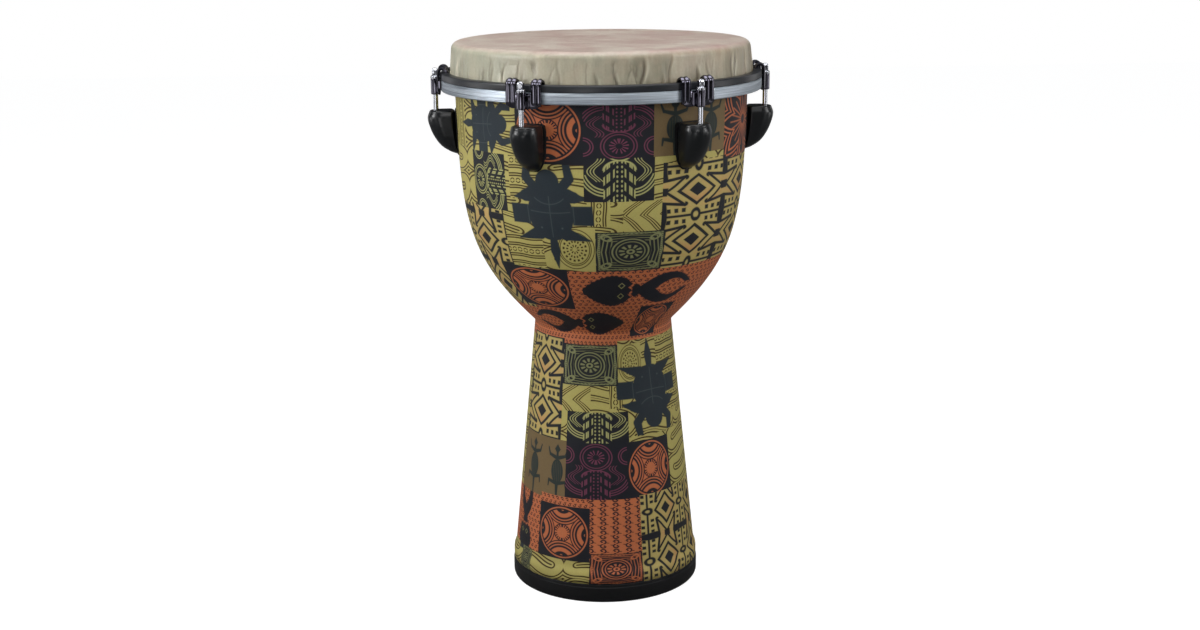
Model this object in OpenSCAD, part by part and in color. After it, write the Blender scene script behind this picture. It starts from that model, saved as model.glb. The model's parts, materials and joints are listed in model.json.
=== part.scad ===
// Key-tuned hand drum in the goblet form of a djembe: a glued fibre shell in a printed
// fabric sleeve, a synthetic head, six claw hooks on tension rods and six shell lugs.
// Millimetres, +Z up, origin at the centre of the foot's underside.

/* [Whole drum] */
// Height from the floor to the top of the head
total_h = 610; // [600:1:620]
// Number of tuning stations round the rim
stations = 6; // [6:1:6]

/* [Shell outline] */
// Outer radius of the sleeve at the rim
rim_r = 158.9; // [156:0.1:159.5]
// Outer radius at the waist
waist_r = 76.5; // [72:0.5:80]
// Height of the waist
waist_z = 299; // [290:1:305]
// Outer radius where the stem meets its foot bead
foot_r = 101.9; // [99:0.1:103]
// Angle of the bowl's underside from the drum's axis
bowl_deg = 45; // [42:1:48]
// Reach of the bowl curve above the waist
belly_reach = 103; // [95:1:110]
// Reach of the bowl curve below the rim
rim_reach = 142; // [130:1:150]
// Radius of the hollow between the bowl and the stem
waist_fillet = 8; // [6:1:10]
// How far the foot bead stands out from the stem
bead_out = 3; // [2:0.5:4]

/* [Walls] */
// Thickness of the printed fabric sleeve
sleeve_t = 0.8; // [0.6:0.1:1.2]
// Thickness of the fibre shell wall
wall_t = 7; // [6:0.5:8]
// Thickness of the drumhead film
film_t = 0.5; // [0.4:0.1:0.8]

/* [Head and hoops] */
// Outer radius of the head at its shoulder
head_r = 161.9; // [161.5:0.1:162.5]
// Outer radius at the foot of the collar
collar_r = 164.4; // [164:0.1:165]
// Radius of the head's shoulder
shoulder_r = 8; // [6:0.5:9]
// Outer radius of both hoops
hoop_r = 174; // [173.5:0.1:174.2]
// Height of the flesh hoop's lower edge
flesh_z = 558.5; // [556:0.5:560]
// Height of the flesh hoop
flesh_h = 12; // [11:0.5:13]
// Height of the counterhoop
counter_h = 7.5; // [6.5:0.5:8]

/* [Tuning hardware] */
// Distance of the tension rods from the drum's axis
rod_circle_r = 180; // [179.5:0.1:180.5]
// Outside diameter of the rod thread
rod_d = 5.5; // [5:0.1:5.6]
// Width across the flats of the square rod head
key_af = 6.35; // [6:0.05:6.4]
// Width of a claw
claw_w = 40; // [36:1:42]
// Width of one claw leg
leg_w = 11; // [10:0.5:12]
// Top surface of the lugs
lug_top_z = 536.5; // [535:0.5:538]
// Thickness of the lug gasket
gasket_t = 1.2; // [1:0.1:1.5]

/* [Hidden] */
$fn = 96;
fine_fn = 48;
hull_fn = 32;
big = 400;
glue_gap = 0.1;
running_gap = 0.05;
head_gap = 0.3;

station_step = 360 / stations;
sleeve_top_z = 596;
ring_joint_z = waist_z;

// Foot ring: a rubber channel pressed over the stem's lower edge
foot_ring_h = 22;
foot_ring_r = foot_r + bead_out + 0.7;
foot_floor_t = 4;
foot_ring_fillet = 5;
foot_ring_lip = 3;
foot_rebate = 2;
foot_rebate_r = foot_r + bead_out - sleeve_t - foot_rebate;
bead_low_z = 31;
bead_high_z = 42;

// Hoops and film
film_top_z = total_h;
film_under_z = total_h - film_t;
bearing_z = film_under_z - head_gap;
bearing_round = 6;
flesh_top_z = flesh_z + flesh_h;
counter_z = flesh_top_z + glue_gap;
counter_top_z = counter_z + counter_h - glue_gap;
channel_t = 1.4;
channel_in_r = collar_r - film_t - 0.1 - channel_t;
film_tail_z = flesh_z + 2.5;

// Claws
plate_in_r = hoop_r + 0.4;
plate_t = 3;
hook_r = 6.2;
hook_core_r = 3;
hook_c_r = plate_in_r + plate_t - hook_r;
hook_c_z = counter_top_z + 0.1;
rib_w = 2.6;
rib_depth = 0.8;
claw_low_z = 554;
claw_corner_r = 8;
web_top_z = 569.5;
boss_r = 4.8;
boss_top_z = 571;
boss_low_z = 553.5;
boss_bore_r = rod_d / 2 + 0.35;

// Rods, washers, inserts
washer_t = 1;
washer_r = 5;
flange_z = boss_top_z + washer_t + running_gap;
flange_t = 1.6;
flange_r = 4.8;
rod_top_z = 582;
rod_low_z = 514.5;
insert_low_z = 517;
insert_h = 14;
insert_r = 4.5;
rod_well_r = rod_d / 2 + 0.55;
rod_well_z = 512.5;

// Lug screws
screw_d = 5;
screw_z = [499, 527];
screw_tip_r = 172;
screw_seat_gap = 0.45;
screw_washer_t = 1.2;
screw_washer_r = 6.5;
screw_head_t = 3.2;
screw_head_r = 4.75;
hole_r = screw_d / 2 + 0.25;

// Lug slices from the top down: [height, reach from the drum's axis, half width]
lug_slices = [
    [lug_top_z, 182, 11],
    [lug_top_z - 1.3, 186.3, 13.6],
    [lug_top_z - 5, 188.6, 14.8],
    [lug_top_z - 9, 189.2, 15],
    [lug_top_z - 16.5, 187.6, 14.9],
    [lug_top_z - 27.5, 183.1, 14.2],
    [lug_top_z - 38.5, 175.2, 11.8],
    [lug_top_z - 45, 165.5, 8.2],
    [lug_top_z - 48, 159.5, 4.5]
];
slice_t = 0.2;
lug_back_r = 152;

// ---- Curves -------------------------------------------------------------------------

// Point at share t of a cubic curve with control points a, b, c and d
function cubic(a, b, c, d, t) =
    pow(1 - t, 3) * a + 3 * pow(1 - t, 2) * t * b + 3 * (1 - t) * t * t * c + pow(t, 3) * d;

// Outward normal of a path at point i, for a path that runs upwards
function normal_at(path, i) =
    let (
        a = path[max(i - 1, 0)],
        b = path[min(i + 1, len(path) - 1)],
        d = b - a
    )
    [d[1], -d[0]] / norm(d);

// The path moved inwards by depth
function inset(path, depth) = [for (i = [0:len(path) - 1]) path[i] - depth * normal_at(path, i)];

// A path turned end for end
function reversed(path) = [for (i = [len(path) - 1:-1:0]) path[i]];

// Points of an arc from angle a0 to a1
function arc(centre, r, a0, a1, steps) =
    [for (i = [0:steps]) let (a = a0 + (a1 - a0) * i / steps) centre + r * [cos(a), sin(a)]];

// Lean of the stem's side from upright
stem_lean = atan((foot_r - waist_r) / (waist_z - bead_high_z));

// How far the bead at the foot stands out from the stem at height z
function bead(z) = bead_out * (1 + cos(180 * (z - bead_low_z) / (bead_high_z - bead_low_z))) / 2;

bead_path = [for (z = [bead_low_z:2.2:bead_high_z + 0.01]) [foot_r + bead(z), z]];
waist_centre = [waist_r + waist_fillet, waist_z];
waist_path = [
    for (a = [stem_lean:-(stem_lean + bowl_deg) / 6:-bowl_deg - 0.01])
        waist_centre - waist_fillet * [cos(a), sin(a)]
];
bowl_start = waist_path[len(waist_path) - 1];
rim_z = 560;
rim_lean = 1.3;
rim_point = [rim_r, rim_z];
bowl_path = [
    for (i = [1:24])
        cubic(
            bowl_start,
            bowl_start + belly_reach * [sin(bowl_deg), cos(bowl_deg)],
            rim_point - rim_reach * [sin(rim_lean), cos(rim_lean)],
            rim_point,
            i / 24
        )
];

// Outer surface of the sleeve, from the foot bead up to the bearing edge
outline = concat(
    [[foot_r + bead_out, foot_floor_t]],
    bead_path,
    waist_path,
    bowl_path,
    [[rim_r, bearing_z]]
);
shell_out = inset(outline, sleeve_t);
shell_in = inset(outline, sleeve_t + wall_t);

// Radius of the shell's inner wall at height z on the bowl
function inner_r(z) = lookup(z, [for (p = shell_in) [p[1], p[0]]]);

// ---- Helpers ------------------------------------------------------------------------

// Solid of revolution between an outer and an inner path
module band(outer, inner) {
    rotate_extrude()
        polygon(concat(outer, reversed(inner)));
}

// Everything between two heights
module slab(z0, z1) {
    translate([0, 0, z0])
        cylinder(r = big, h = z1 - z0);
}

// Solid core of the drum, standing proud of the sleeve by extra
module core(extra) {
    path = inset(outline, -extra);
    rotate_extrude()
        polygon(concat([[0, path[0][1]]], path, [[0, path[len(path) - 1][1]]]));
}

// Turns its children to tuning station k, counted from 1
module at_station(k) {
    rotate([0, 0, (k - 1) * station_step])
        children();
}

// Cylinder that points outwards along X at height z
module radial_rod(r, from_r, to_r, z) {
    translate([from_r, 0, z])
        rotate([0, 90, 0])
            cylinder(r = r, h = to_r - from_r, $fn = fine_fn);
}

// Clearance holes for every lug screw
module screw_holes() {
    for (k = [1:stations])
        at_station(k)
            for (z = screw_z)
                radial_rod(hole_r, rim_r - 30, rim_r + 10, z);
}

// ---- Shell --------------------------------------------------------------------------

// Profile of the wall with the rounded bearing edge cut on top
module shell_wall() {
    outer_r = shell_out[len(shell_out) - 1][0];
    inner_edge_r = shell_in[len(shell_in) - 1][0];
    edge_c = [outer_r - bearing_round, bearing_z - bearing_round];
    difference() {
        band(shell_out, shell_in);
        rotate_extrude()
            polygon(concat(
                arc(edge_c, bearing_round, 0, 90, 8),
                [[edge_c[0], bearing_z + 1], [outer_r + 1, bearing_z + 1], [outer_r + 1, edge_c[1]]]
            ));
        translate([0, 0, bearing_z - 2])
            cylinder(r1 = inner_edge_r - 0.5, r2 = inner_edge_r + 2, h = 2.5);
    }
}

module bowl_shell() {
    color("saddlebrown")
        difference() {
            intersection() {
                shell_wall();
                slab(ring_joint_z + glue_gap / 2, total_h);
            }
            screw_holes();
        }
}

// The stem's lower edge is rebated, so that the foot ring lies flush
module stem_shell() {
    color("saddlebrown")
        difference() {
            intersection() {
                shell_wall();
                slab(foot_floor_t, ring_joint_z - glue_gap / 2);
            }
            difference() {
                slab(0, foot_ring_h + glue_gap);
                cylinder(r = foot_rebate_r, h = big);
            }
        }
}

// Glued ring inside the waist that ties the bowl to the stem
module waist_ring() {
    ring_t = 5;
    ring_half_h = 20;
    color("burlywood")
        intersection() {
            band(inset(outline, sleeve_t + wall_t + glue_gap), inset(outline, sleeve_t + wall_t + ring_t));
            slab(waist_z - ring_half_h, waist_z + ring_half_h);
        }
}

// Printed fabric drawn over the bowl and the stem in one piece
module printed_sleeve() {
    color("olive")
        difference() {
            intersection() {
                band(outline, shell_out);
                slab(foot_ring_h + glue_gap, sleeve_top_z);
            }
            screw_holes();
        }
}

// Rubber channel that takes the stem's lower edge
module foot_ring() {
    groove_out_r = foot_rebate_r + glue_gap;
    groove_in_r = foot_r + bead_out - sleeve_t - wall_t - glue_gap;
    inside_r = groove_in_r - foot_ring_lip;
    lip_h = 14;
    corner = [foot_ring_r - foot_ring_fillet, foot_ring_fillet];
    color([0.1, 0.1, 0.1])
        rotate_extrude()
            polygon(concat(
                [[inside_r, 1], [inside_r + 1, 0]],
                arc(corner, foot_ring_fillet, -90, 0, 6),
                arc([foot_ring_r - 1, foot_ring_h - 1], 1, 0, 90, 3),
                [
                    [groove_out_r, foot_ring_h],
                    [groove_out_r, foot_floor_t - glue_gap],
                    [groove_in_r, foot_floor_t - glue_gap],
                    [groove_in_r, lip_h],
                    [inside_r, lip_h]
                ]
            ));
}

// ---- Head ---------------------------------------------------------------------------

// Film with a rounded shoulder, a collar and a tail held in the flesh hoop
module drumhead_film() {
    shoulder = [head_r - shoulder_r, film_top_z - shoulder_r];
    color("tan")
        rotate_extrude()
            polygon(concat(
                [[0, film_under_z]],
                reversed(arc(shoulder, shoulder_r - film_t, 0, 90, 8)),
                [[collar_r - film_t, counter_top_z], [collar_r - film_t, film_tail_z]],
                [[collar_r, film_tail_z], [collar_r, counter_top_z]],
                arc(shoulder, shoulder_r, 0, 90, 8),
                [[0, film_top_z]]
            ));
}

// Aluminium channel round the edge of the film
module flesh_hoop() {
    color("silver")
        rotate_extrude()
            polygon([
                [channel_in_r, flesh_z],
                [hoop_r, flesh_z],
                [hoop_r, flesh_top_z],
                [hoop_r - channel_t, flesh_top_z],
                [hoop_r - channel_t, flesh_z + channel_t],
                [channel_in_r + channel_t, flesh_z + channel_t],
                [channel_in_r + channel_t, flesh_top_z],
                [channel_in_r, flesh_top_z]
            ]);
}

// Cast resin that locks the film in the channel
module film_bond() {
    color("dimgray")
        translate([0, 0, film_tail_z])
            difference() {
                cylinder(r = hoop_r - channel_t - glue_gap, h = flesh_top_z - film_tail_z - glue_gap);
                translate([0, 0, -1])
                    cylinder(r = collar_r + glue_gap, h = flesh_h + 2);
            }
}

// Black ring that the claws pull down on the flesh hoop
module counterhoop() {
    in_r = collar_r + 0.3;
    edge = 1.5;
    color([0.16, 0.16, 0.17])
        rotate_extrude()
            polygon(concat(
                [[in_r, counter_z], [hoop_r - 0.6, counter_z], [hoop_r, counter_z + 0.6]],
                arc([hoop_r - edge, counter_top_z - edge], edge, 0, 90, 4),
                [[in_r, counter_top_z]]
            ));
}

// ---- Claws, rods and washers --------------------------------------------------------

// Side view of a hook: a plate that rolls over the counterhoop
module hook_profile(skin) {
    roll_r = hook_r - skin;
    difference() {
        union() {
            translate([hook_c_r, hook_c_z])
                circle(r = roll_r, $fn = fine_fn);
            translate([plate_in_r, claw_low_z + claw_corner_r])
                square([plate_t - skin, hook_c_z - claw_low_z - claw_corner_r]);
        }
        translate([hook_c_r, hook_c_z])
            circle(r = hook_core_r, $fn = fine_fn);
        translate([hook_c_r - 2 * hook_r, hook_c_z - 2 * hook_r])
            square([plate_in_r - hook_c_r + 2 * hook_r, 2 * hook_r]);
    }
}

// Slice of hook of width w centred at y
module hook_slice(y, w, skin) {
    translate([0, y + w / 2, 0])
        rotate([90, 0, 0])
            linear_extrude(height = w)
                hook_profile(skin);
}

// One ribbed leg
module claw_leg(y) {
    rib_step = (leg_w - rib_w) / 2;
    hook_slice(y, leg_w, rib_depth);
    for (i = [-1:1])
        hook_slice(y + i * rib_step, rib_w, 0);
}

// Front view of the web that joins the legs
module web_outline() {
    half_w = claw_w / 2;
    for (s = [-1, 1])
        translate([s * (half_w - claw_corner_r), claw_low_z + claw_corner_r])
            circle(r = claw_corner_r, $fn = fine_fn);
    translate([-half_w + claw_corner_r, claw_low_z])
        square([claw_w - 2 * claw_corner_r, web_top_z - claw_low_z]);
    for (s = [-1, 1])
        translate([s * (half_w - leg_w / 2) - leg_w / 2, claw_low_z + claw_corner_r])
            square([leg_w, web_top_z - claw_low_z - claw_corner_r]);
}

// Web in the plane of the legs, with a raised step behind the boss
module claw_web() {
    web_t = plate_t - rib_depth;
    step_w = 16;
    translate([plate_in_r, 0, 0])
        rotate([90, 0, 90])
            linear_extrude(height = web_t)
                web_outline();
    translate([plate_in_r, -step_w / 2, claw_low_z])
        cube([plate_t + 0.8, step_w, web_top_z - claw_low_z - 1.5]);
}

module claw() {
    color([0.2, 0.2, 0.22])
        difference() {
            union() {
                for (s = [-1, 1])
                    claw_leg(s * (claw_w - leg_w) / 2);
                claw_web();
                translate([rod_circle_r, 0, boss_low_z])
                    cylinder(r = boss_r, h = boss_top_z - boss_low_z, $fn = fine_fn);
            }
            translate([rod_circle_r, 0, boss_low_z - 1])
                cylinder(r = boss_bore_r, h = boss_top_z - boss_low_z + 2, $fn = fine_fn);
            difference() {
                cylinder(r = plate_in_r - 0.1, h = counter_top_z);
                translate([0, 0, -1])
                    cylinder(r = plate_in_r - 20, h = counter_top_z + 2);
            }
        }
}

// Rod with a square, domed key head and a flange
module tension_rod() {
    head_low_z = flange_z + flange_t;
    color("gainsboro")
        translate([rod_circle_r, 0, 0]) {
            translate([0, 0, rod_low_z])
                cylinder(r = rod_d / 2, h = flange_z - rod_low_z, $fn = fine_fn);
            translate([0, 0, flange_z])
                cylinder(r = flange_r, h = flange_t, $fn = fine_fn);
            intersection() {
                translate([-key_af / 2, -key_af / 2, head_low_z])
                    cube([key_af, key_af, rod_top_z - head_low_z]);
                translate([0, 0, rod_top_z - 5])
                    sphere(r = 5);
            }
            intersection() {
                translate([-key_af / 2, -key_af / 2, head_low_z])
                    cube([key_af, key_af, rod_top_z - 5 - head_low_z]);
                translate([0, 0, head_low_z])
                    cylinder(r = 4.2, h = rod_top_z - head_low_z, $fn = fine_fn);
            }
        }
}

module rod_washer() {
    color("silver")
        translate([rod_circle_r, 0, boss_top_z])
            difference() {
                cylinder(r = washer_r, h = washer_t, $fn = fine_fn);
                translate([0, 0, -1])
                    cylinder(r = rod_d / 2 + 0.25, h = washer_t + 2, $fn = fine_fn);
            }
}

// ---- Lugs ---------------------------------------------------------------------------

// Smooth tear-drop block, before its back is cut to the shell
module lug_block() {
    hull()
        for (s = lug_slices)
            for (x = [lug_back_r, s[1] - s[2]])
                translate([x, 0, s[0] - slice_t])
                    cylinder(r = s[2], h = slice_t, $fn = hull_fn);
}

// Tear-drop lug with a well for the rod, a seat for the insert and two screw holes
module lug() {
    color([0.08, 0.08, 0.09])
        difference() {
            lug_block();
            core(gasket_t);
            translate([rod_circle_r, 0, rod_well_z])
                cylinder(r = rod_well_r, h = big, $fn = fine_fn);
            translate([rod_circle_r, 0, insert_low_z])
                cylinder(r = insert_r, h = insert_h, $fn = fine_fn);
            for (z = screw_z)
                radial_rod(screw_d / 2, lug_back_r, screw_tip_r, z);
        }
}

// Thin gasket between the lug and the sleeve, a little larger than the lug
module lug_gasket() {
    margin = 0.7;
    right = [for (s = lug_slices) [s[2] + margin, s[0] + margin * (s[0] > lug_top_z - 20 ? 1 : -1)]];
    left = [for (p = reversed(right)) [-p[0], p[1]]];
    color([0.05, 0.05, 0.05])
        difference() {
            intersection() {
                translate([lug_back_r, 0, 0])
                    rotate([90, 0, 90])
                        linear_extrude(height = 20)
                            polygon(concat(right, left));
                core(gasket_t);
            }
            core(0);
            for (z = screw_z)
                radial_rod(hole_r, lug_back_r - 10, screw_tip_r, z);
        }
}

// Threaded brass insert moulded into the lug
module lug_insert() {
    color("goldenrod")
        translate([rod_circle_r, 0, insert_low_z])
            difference() {
                cylinder(r = insert_r, h = insert_h, $fn = fine_fn);
                translate([0, 0, -1])
                    cylinder(r = rod_d / 2 + running_gap, h = insert_h + 2, $fn = fine_fn);
            }
}

// Face that a screw washer rests on, by height
function seat_r(z) = inner_r(z) - screw_seat_gap;

// Two screws for each lug, driven from inside the bowl
module lug_screws() {
    color("silver")
        for (k = [1:stations])
            at_station(k)
                for (z = screw_z) {
                    head_r0 = seat_r(z) - screw_washer_t;
                    radial_rod(screw_d / 2, head_r0, screw_tip_r, z);
                    radial_rod(screw_head_r, head_r0 - screw_head_t, head_r0, z);
                }
}

module screw_washers() {
    color("gray")
        for (k = [1:stations])
            at_station(k)
                for (z = screw_z)
                    difference() {
                        radial_rod(screw_washer_r, seat_r(z) - screw_washer_t, seat_r(z), z);
                        radial_rod(screw_d / 2 + glue_gap, seat_r(z) - 5, seat_r(z) + 5, z);
                    }
}

// ---- Nodes --------------------------------------------------------------------------

bowl_shell();
stem_shell();
waist_ring();
printed_sleeve();
foot_ring();
drumhead_film();
flesh_hoop();
film_bond();
counterhoop();
at_station(1) claw();  // claw_1
at_station(2) claw();  // claw_2
at_station(3) claw();  // claw_3
at_station(4) claw();  // claw_4
at_station(5) claw();  // claw_5
at_station(6) claw();  // claw_6
at_station(1) tension_rod();  // tension_rod_1
at_station(2) tension_rod();  // tension_rod_2
at_station(3) tension_rod();  // tension_rod_3
at_station(4) tension_rod();  // tension_rod_4
at_station(5) tension_rod();  // tension_rod_5
at_station(6) tension_rod();  // tension_rod_6
at_station(1) rod_washer();  // rod_washer_1
at_station(2) rod_washer();  // rod_washer_2
at_station(3) rod_washer();  // rod_washer_3
at_station(4) rod_washer();  // rod_washer_4
at_station(5) rod_washer();  // rod_washer_5
at_station(6) rod_washer();  // rod_washer_6
at_station(1) lug();  // lug_1
at_station(2) lug();  // lug_2
at_station(3) lug();  // lug_3
at_station(4) lug();  // lug_4
at_station(5) lug();  // lug_5
at_station(6) lug();  // lug_6
at_station(1) lug_gasket();  // lug_gasket_1
at_station(2) lug_gasket();  // lug_gasket_2
at_station(3) lug_gasket();  // lug_gasket_3
at_station(4) lug_gasket();  // lug_gasket_4
at_station(5) lug_gasket();  // lug_gasket_5
at_station(6) lug_gasket();  // lug_gasket_6
at_station(1) lug_insert();  // lug_insert_1
at_station(2) lug_insert();  // lug_insert_2
at_station(3) lug_insert();  // lug_insert_3
at_station(4) lug_insert();  // lug_insert_4
at_station(5) lug_insert();  // lug_insert_5
at_station(6) lug_insert();  // lug_insert_6
lug_screws();
screw_washers();
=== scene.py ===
"""Djembe in a printed cloth sleeve: the looks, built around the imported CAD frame.

Lengths are in metres unless a name ends in _MM or _CM. Angles round the drum are in degrees from
the front, the side that the camera faces, and grow towards the viewer's right.
"""
import json
import math
import random
from functools import partial

import bmesh
import bpy
from mathutils import Matrix, Vector


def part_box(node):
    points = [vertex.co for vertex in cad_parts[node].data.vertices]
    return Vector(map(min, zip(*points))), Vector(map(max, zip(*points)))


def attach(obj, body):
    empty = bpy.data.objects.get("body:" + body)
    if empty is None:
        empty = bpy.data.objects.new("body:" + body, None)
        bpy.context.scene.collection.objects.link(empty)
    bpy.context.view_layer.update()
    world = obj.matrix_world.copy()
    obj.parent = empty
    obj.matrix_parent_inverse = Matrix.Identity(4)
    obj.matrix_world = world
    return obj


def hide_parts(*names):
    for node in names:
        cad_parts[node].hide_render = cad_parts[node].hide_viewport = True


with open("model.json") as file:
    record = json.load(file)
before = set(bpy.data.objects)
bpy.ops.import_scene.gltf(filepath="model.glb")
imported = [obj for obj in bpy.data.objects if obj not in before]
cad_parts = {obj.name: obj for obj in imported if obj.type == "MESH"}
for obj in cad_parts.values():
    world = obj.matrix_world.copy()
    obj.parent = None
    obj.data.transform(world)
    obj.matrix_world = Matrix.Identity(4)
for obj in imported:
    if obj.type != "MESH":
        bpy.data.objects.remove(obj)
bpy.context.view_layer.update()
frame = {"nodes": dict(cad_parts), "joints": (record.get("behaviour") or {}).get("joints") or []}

MM = 0.001
FRONT_DEG = -93.5
STATIONS = 6
HEAD_BODY = "head"
SHELL_BODY = "shell"


def on_circle(degrees, radius=1.0):
    """The two coordinates of a point on a circle about the origin."""
    turn = math.radians(degrees)
    return radius * math.cos(turn), radius * math.sin(turn)


def front_point(angle, radius, z):
    """Point at an angle from the front of the drum."""
    return Vector((*on_circle(FRONT_DEG + angle, radius), z))


def new_object(name, data):
    """Object linked to the scene."""
    made = bpy.data.objects.new(name, data)
    bpy.context.scene.collection.objects.link(made)
    return made


# ---- Camera, light and floor ----

EYE_DISTANCE = 1.874
EYE_HEIGHT = 0.756
EYE_ASIDE = 0.0035
EYE_PITCH_DEG = 13.59
EYE_ROLL_DEG = -0.507
LENS_MM = 51.43

# Angle, distance, height, height aimed at, width, depth, power and the beam's spread in degrees
SOFTBOXES = {
    "top_box": (-10, 0.5, 2.3, 0.4, 2.2, 1.6, 36, 180),
    "left_box": (-72, 2.1, 1.45, 0.84, 0.8, 1.7, 3.6, 42),
    "right_box": (70, 2.2, 1.45, 0.80, 0.7, 1.7, 1.9, 42),
    "left_rim": (-132, 2.0, 0.8, 0.6, 0.5, 1.4, 2.5, 180),
    "right_rim": (132, 2.0, 0.8, 0.6, 0.5, 1.4, 2.5, 180),
    "front_box": (4, 3.2, 1.8, 0.66, 1.5, 0.9, 0.8, 30),
    "low_box": (-12, 1.9, 0.30, 0.62, 0.8, 0.45, 0.11, 24),
    "left_low": (-96, 2.0, 0.30, 0.56, 0.8, 0.5, 0.14, 30),
    "right_low": (92, 2.0, 0.30, 0.56, 0.8, 0.5, 0.12, 30),
    "left_strip": (-50, 1.45, 0.50, 0.5, 0.36, 0.8, 1.0, 180),
    "right_strip": (52, 1.45, 0.50, 0.5, 0.30, 0.8, 0.85, 180),
}

# The room's colour, from straight below to straight above
ROOM = [(0, (0.03, 0.03, 0.03)), (0.3, (0.03, 0.03, 0.03)), (0.62, (0.12, 0.13, 0.14)),
        (1, (0.37, 0.38, 0.40))]
WHITE = (1, 1, 1, 1)
FLOOR_GLOW = 0.95


def add_camera():
    """Camera at the photograph's distance, height and tilt."""
    towards, right = front_point(0, 1, 0), front_point(90, 1, 0)
    pitch = math.radians(EYE_PITCH_DEG)
    look = -towards * math.cos(pitch) - Vector((0, 0, math.sin(pitch)))
    basis = Matrix((right, right.cross(look), -look)).transposed().to_4x4()
    place = towards * EYE_DISTANCE - right * EYE_ASIDE + Vector((0, 0, EYE_HEIGHT))
    roll = Matrix.Rotation(math.radians(EYE_ROLL_DEG), 4, "Z")
    data = bpy.data.cameras.new("eye")
    data.lens = LENS_MM
    data.sensor_width = 36
    eye = new_object("eye", data)
    eye.matrix_world = Matrix.Translation(place) @ basis @ roll
    bpy.context.scene.camera = eye


def add_softboxes():
    """Soft lights that look at the drum's axis, some with a grid that narrows the beam."""
    for name, (angle, distance, height, aim, width, depth, power, spread) in SOFTBOXES.items():
        data = bpy.data.lights.new(name, "AREA")
        data.shape = "RECTANGLE"
        data.size = width
        data.size_y = depth
        data.energy = power
        data.spread = math.radians(spread)
        lamp = new_object(name, data)
        place = front_point(angle, distance, height)
        lamp.location = place
        lamp.rotation_euler = (Vector((0, 0, aim)) - place).to_track_quat("-Z", "Y").to_euler()
        lamp.visible_camera = False


def add_world():
    """White to the camera, and a soft grey room to everything else."""
    world = bpy.data.worlds.new("studio")
    bpy.context.scene.world = world
    world.use_nodes = True
    Field.tree = world.node_tree
    Field.tree.nodes.clear()
    height = parts_of(add_node("TexCoord", {}).outputs["Generated"])[2]
    ramp = add_node("ValToRGB", {"Fac": height})
    stops = ramp.color_ramp.elements
    for place, _ in ROOM[1:-1]:
        stops.new(place)
    for stop, (place, colour) in zip(stops, ROOM):
        stop.position = place
        stop.color = (*colour, 1)
    room = add_node("Background", {"Color": ramp.outputs["Color"]})
    white = add_node("Background", {"Color": WHITE})
    mix = add_node("MixShader", {0: seen_by_camera(), 1: room.outputs[0], 2: white.outputs[0]})
    add_node("OutputWorld", {"Surface": mix.outputs[0]})


def add_floor():
    """Plain pale floor."""
    half = 6
    mesh = bpy.data.meshes.new("floor")
    corners = [(-half, -half, 0), (half, -half, 0), (half, half, 0), (-half, half, 0)]
    mesh.from_pydata(corners, [], [(0, 1, 2, 3)])
    start_material("floor_white")
    mesh.materials.append(finish_material(
        (0.22, 0.22, 0.22, 1), 0.7, Specular_IOR_Level=0.0, Emission_Color=WHITE,
        Emission_Strength=seen_by_camera() * FLOOR_GLOW))
    new_object("floor", mesh)


# ---- Material building ----


def rgb(red, green, blue):
    """Display colour from 0 to 255 as the linear colour that shaders use."""
    def linear(value):
        share = value / 255
        return share / 12.92 if share <= 0.04045 else ((share + 0.055) / 1.055) ** 2.4
    return (linear(red), linear(green), linear(blue), 1)


def add_node(kind, inputs, **settings):
    """New shader node, with its settings and with its inputs, by name or number, plugged."""
    made = Field.tree.nodes.new("ShaderNode" + kind)
    for name, value in settings.items():
        setattr(made, name, value)
    for key, value in inputs.items():
        plug(value, made.inputs[key])
    return made


class Field:
    """A number that varies over a surface, with the arithmetic of the shader's math nodes."""

    tree = None
    material = None

    def __init__(self, socket):
        self.socket = socket

    def node(self, kind, *others, clamp=False):
        """Result of a math node on this field and others."""
        inputs = dict(enumerate((self, *others)))
        return Field(add_node("Math", inputs, operation=kind, use_clamp=clamp).outputs[0])

    def held(self, slope, start=0):
        """The field times a slope, from a start, held between 0 and 1."""
        return self.node("MULTIPLY_ADD", slope, start, clamp=True)

    def __add__(self, other):
        return self.node("ADD", other)

    def __sub__(self, other):
        return self.node("SUBTRACT", other)

    def __rsub__(self, other):
        return self.node("MULTIPLY_ADD", -1, other)

    def __mul__(self, other):
        return self.node("MULTIPLY", other)

    def __neg__(self):
        return self.node("MULTIPLY", -1)

    def __abs__(self):
        return self.node("ABSOLUTE")


def plug(value, target):
    """Links a field or a socket to a target, or writes a constant on it."""
    if isinstance(value, Field):
        value = value.socket
    if isinstance(value, bpy.types.NodeSocket):
        Field.tree.links.new(value, target)
    else:
        target.default_value = value


def parts_of(vector):
    """The x, y and z of a vector, as fields."""
    return [Field(part) for part in add_node("SeparateXYZ", {0: vector}).outputs]


def seen_by_camera():
    """1 where the camera looks straight at the surface, and 0 in its light on others."""
    return Field(add_node("LightPath", {}).outputs["Is Camera Ray"])


def least(first, *rest):
    """Smallest of several fields: the union of their shapes."""
    for other in rest:
        first = first.node("MINIMUM", other)
    return first


def most(first, *rest):
    """Largest of several fields: what their shapes have in common."""
    for other in rest:
        first = first.node("MAXIMUM", other)
    return first


def wave(x):
    """Sine of a field."""
    return x.node("SINE")


def wrap(x, period):
    """The field folded into one period about zero."""
    return x.node("WRAP", period / 2, -period / 2)


def size(x, y):
    """Distance from the origin."""
    return (x * x + y * y).node("SQRT")


def polar(x, y):
    """Distance from the origin, and angle round it in radians."""
    return size(x, y), y.node("ARCTAN2", x)


def ellipse(x, y, across, along):
    """Rough distance to the edge of an ellipse about the origin, negative inside."""
    return (size(x * (1 / across), y * (1 / along)) - 1) * min(across, along)


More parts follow.
